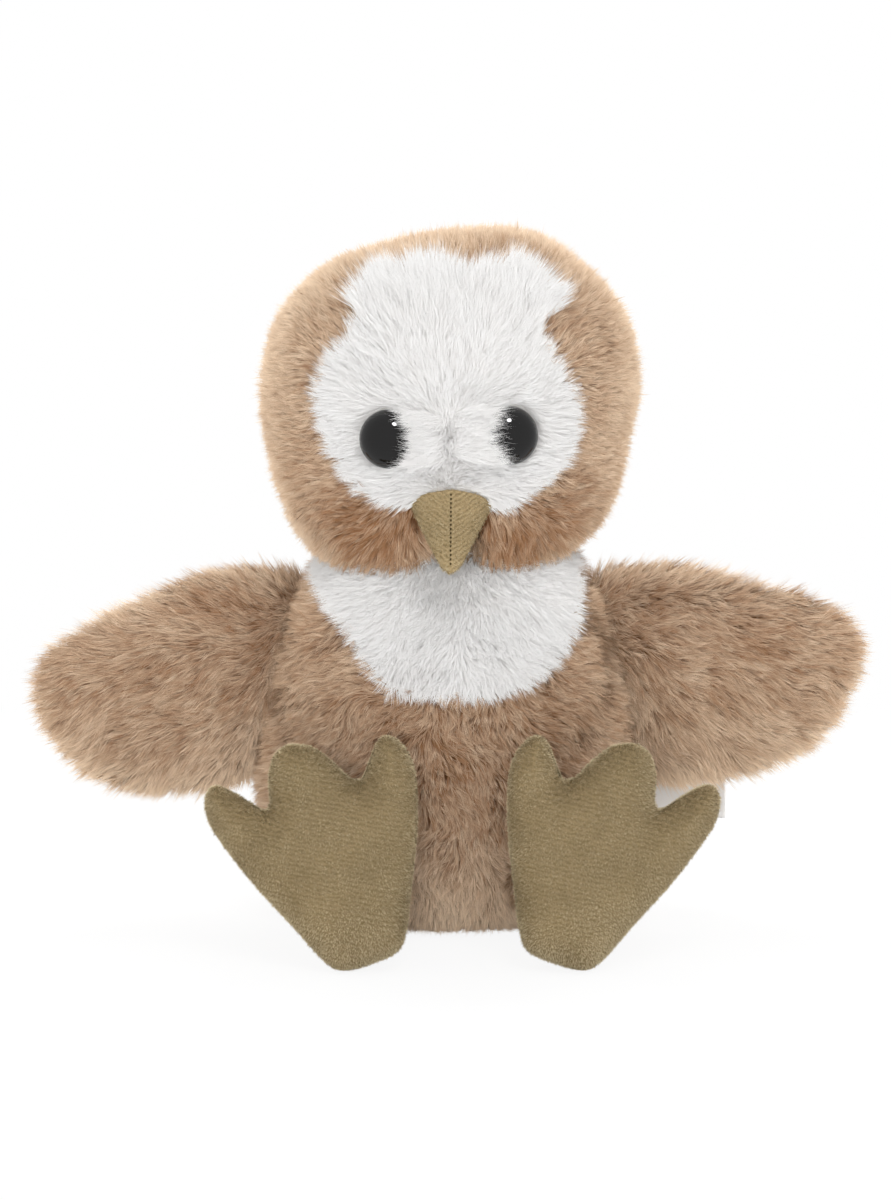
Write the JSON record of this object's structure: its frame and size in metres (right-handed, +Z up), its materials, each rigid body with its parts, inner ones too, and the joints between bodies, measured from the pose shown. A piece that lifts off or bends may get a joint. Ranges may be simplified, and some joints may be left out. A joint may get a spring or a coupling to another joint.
{
  "type": "plush owl",
  "caption": "Small seated plush owl with a fur body and head, white face and bib, glossy eyes, soft beak, outspread wings and webbed velour feet.",
  "frame": {"origin": "on the surface the owl sits on, below the middle of the body", "axes": "+Z up, the owl faces -Y, and its left side is at +X"},
  "size_m": [0.1767, 0.096, 0.1447],
  "materials": {
    "tan_plush": "long brushed pile",
    "white_plush": "long brushed pile",
    "olive_velour": "short ribbed nap",
    "eye_plastic": "gloss",
    "washer_plastic": "matte",
    "lining_cloth": "matte",
    "filling": "matte",
    "pellet_cloth": "matte",
    "label_satin": "satin"
  },
  "bodies": {
    "torso": {"body_back_panel": "tan_plush", "belly_panel": "tan_plush", "chest_bib": "white_plush", "seat_panel": "tan_plush", "body_stuffing": "filling", "pellet_bag": "pellet_cloth", "side_label": "label_satin"},
    "neck": {"neck_sleeve": "lining_cloth"},
    "head": {"head_side_left": "tan_plush", "head_side_right": "tan_plush", "face_left": "white_plush", "face_right": "white_plush", "forehead_panel": "white_plush", "head_stuffing": "filling", "eye_left": "eye_plastic", "eye_right": "eye_plastic", "eye_washer_left": "washer_plastic", "eye_washer_right": "washer_plastic", "beak_left_panel": "olive_velour", "beak_right_panel": "olive_velour", "beak_stuffing": "filling"},
    "wing_left": {"wing_left_front": "tan_plush", "wing_left_back": "tan_plush", "wing_left_stuffing": "filling"},
    "wing_right": {"wing_right_front": "tan_plush", "wing_right_back": "tan_plush", "wing_right_stuffing": "filling"},
    "leg_left": {"leg_left_sleeve": "tan_plush", "leg_left_stuffing": "filling"},
    "leg_right": {"leg_right_sleeve": "tan_plush", "leg_right_stuffing": "filling"},
    "foot_left": {"foot_left_sole": "olive_velour", "foot_left_top": "olive_velour", "foot_left_stuffing": "filling"},
    "foot_right": {"foot_right_sole": "olive_velour", "foot_right_top": "olive_velour", "foot_right_stuffing": "filling"}
  },
  "joints": [
    {"name": "neck_turn", "type": "hinge", "parent": "torso", "child": "neck", "pos_m": [0, 0, 0.065], "axis": [0, 0, 1], "range_deg": [-25, 25], "stiffness_Nm_per_rad": 0.05},
    {"name": "head_nod", "type": "hinge", "parent": "neck", "child": "head", "pos_m": [0, 0, 0.065], "axis": [1, 0, 0], "range_deg": [-10, 10], "stiffness_Nm_per_rad": 0.3},
    {"name": "wing_left_swing", "type": "hinge", "parent": "torso", "child": "wing_left", "pos_m": [0.0392, 0, 0.055], "axis": [-0.2588, 0, 0.9659], "range_deg": [-55, 40], "stiffness_Nm_per_rad": 0.02},
    {"name": "wing_right_swing", "type": "hinge", "parent": "torso", "child": "wing_right", "pos_m": [-0.0392, 0, 0.055], "axis": [0.2588, 0, 0.9659], "range_deg": [-40, 55], "stiffness_Nm_per_rad": 0.02},
    {"name": "leg_left_swing", "type": "hinge", "parent": "torso", "child": "leg_left", "pos_m": [0.0195, -0.03049, 0.0135], "axis": [1, 0, 0], "range_deg": [-12, 38], "stiffness_Nm_per_rad": 0.05},
    {"name": "leg_right_swing", "type": "hinge", "parent": "torso", "child": "leg_right", "pos_m": [-0.0195, -0.03049, 0.0135], "axis": [1, 0, 0], "range_deg": [-12, 38], "stiffness_Nm_per_rad": 0.05},
    {"name": "foot_left_flop", "type": "hinge", "parent": "leg_left", "child": "foot_left", "pos_m": [0.02391, -0.04587, 0.0135], "axis": [1, 0, 0], "range_deg": [-10, 30], "stiffness_Nm_per_rad": 0.03},
    {"name": "foot_right_flop", "type": "hinge", "parent": "leg_right", "child": "foot_right", "pos_m": [-0.0159, -0.04608, 0.0135], "axis": [1, 0, 0], "range_deg": [-10, 30], "stiffness_Nm_per_rad": 0.03}
  ]
}
